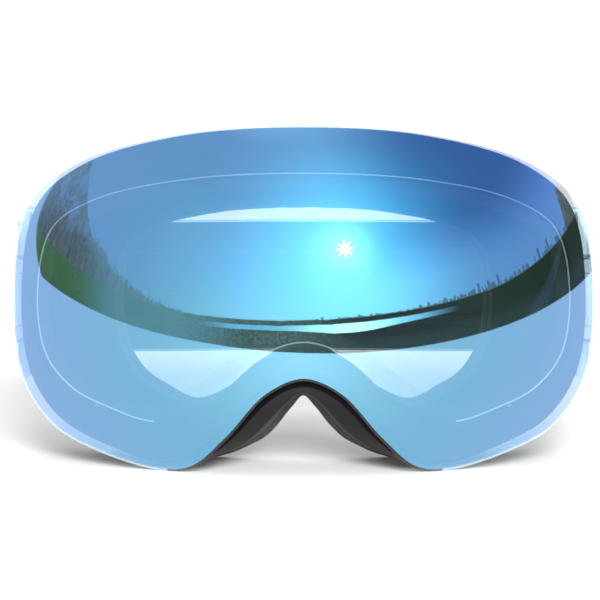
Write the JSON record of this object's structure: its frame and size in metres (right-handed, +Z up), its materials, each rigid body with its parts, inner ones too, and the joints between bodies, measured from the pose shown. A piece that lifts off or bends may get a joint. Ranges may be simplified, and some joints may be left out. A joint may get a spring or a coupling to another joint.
{
  "type": "ski goggles",
  "caption": "Frameless ski goggles: spherical mirrored lens on a magnetic carrier, vented frame with layered face foam, hinged outriggers and an elastic strap with sliders.",
  "frame": {"origin": "under the middle of the goggles and their strap, on the surface that they stand on", "axes": "+Y from the lens towards the back of the strap, +Z up, +X to the wearer's left"},
  "size_m": [0.1836, 0.2038, 0.1053],
  "materials": {
    "lens_mirror": "polycarbonate with a blue multilayer mirror coating",
    "lens_clear": "clear anti-fog acetate",
    "gasket_foam": "closed-cell foam tape",
    "carrier_plastic": "moulded nylon, fine texture",
    "magnet": "nickel-plated magnet",
    "frame_plastic": "soft moulded polyurethane, satin texture",
    "vent_foam": "thin open-cell foam",
    "face_foam": "open-cell foam",
    "fleece": "brushed fleece face",
    "outrigger_plastic": "moulded nylon, satin",
    "slider_plastic": "moulded nylon, satin",
    "strap_webbing": "woven elastic webbing",
    "silicone": "printed silicone lines",
    "steel": "stainless steel"
  },
  "bodies": {
    "root": {"frame_chassis": "frame_plastic", "frame_magnet_1": "magnet", "frame_magnet_2": "magnet", "frame_magnet_3": "magnet", "frame_magnet_4": "magnet", "frame_magnet_5": "magnet", "frame_magnet_6": "magnet", "frame_magnet_7": "magnet", "frame_magnet_8": "magnet", "vent_foam_top": "vent_foam", "vent_foam_lower_left": "vent_foam", "vent_foam_lower_right": "vent_foam", "foam_carrier": "carrier_plastic", "foam_base": "face_foam", "foam_mid": "face_foam", "foam_face": "fleece", "strap_loop": "strap_webbing", "strap_grip_1": "silicone", "strap_grip_2": "silicone", "strap_grip_3": "silicone", "hinge_bracket_left": "outrigger_plastic", "bracket_screw_left_1": "steel", "bracket_screw_left_2": "steel", "hinge_pin_left": "steel", "hinge_bracket_right": "outrigger_plastic", "bracket_screw_right_1": "steel", "bracket_screw_right_2": "steel", "hinge_pin_right": "steel"},
    "lens_unit": {"outer_lens": "lens_mirror", "lens_gasket": "gasket_foam", "inner_lens": "lens_clear", "lens_carrier": "carrier_plastic", "lens_magnet_1": "magnet", "lens_magnet_2": "magnet", "lens_magnet_3": "magnet", "lens_magnet_4": "magnet", "lens_magnet_5": "magnet", "lens_magnet_6": "magnet", "lens_magnet_7": "magnet", "lens_magnet_8": "magnet"},
    "outrigger_left": {"outrigger_left": "outrigger_plastic", "strap_end_left": "strap_webbing", "strap_side_left": "strap_webbing", "strap_return_left": "strap_webbing"},
    "slider_left": {"strap_slider_left": "slider_plastic"},
    "outrigger_right": {"outrigger_right": "outrigger_plastic", "strap_end_right": "strap_webbing", "strap_side_right": "strap_webbing", "strap_return_right": "strap_webbing"},
    "slider_right": {"strap_slider_right": "slider_plastic"}
  },
  "joints": [
    {"name": "lens_release", "type": "slide", "parent": "root", "child": "lens_unit", "axis": [0, -1, 0], "range_m": [0, 0.05]},
    {"name": "outrigger_left_hinge", "type": "hinge", "parent": "root", "child": "outrigger_left", "pos_m": [0.0874, -0.04188, 0.0497], "axis": [0, 0, -1], "range_deg": [-8, 12]},
    {"name": "slider_left_slide", "type": "slide", "parent": "outrigger_left", "child": "slider_left", "axis": [0, 1, 0], "range_m": [-0.007, 0.02]},
    {"name": "outrigger_right_hinge", "type": "hinge", "parent": "root", "child": "outrigger_right", "pos_m": [-0.0874, -0.04188, 0.0497], "axis": [0, 0, 1], "range_deg": [-8, 12]},
    {"name": "slider_right_slide", "type": "slide", "parent": "outrigger_right", "child": "slider_right", "axis": [0, 1, 0], "range_m": [-0.007, 0.02]}
  ]
}
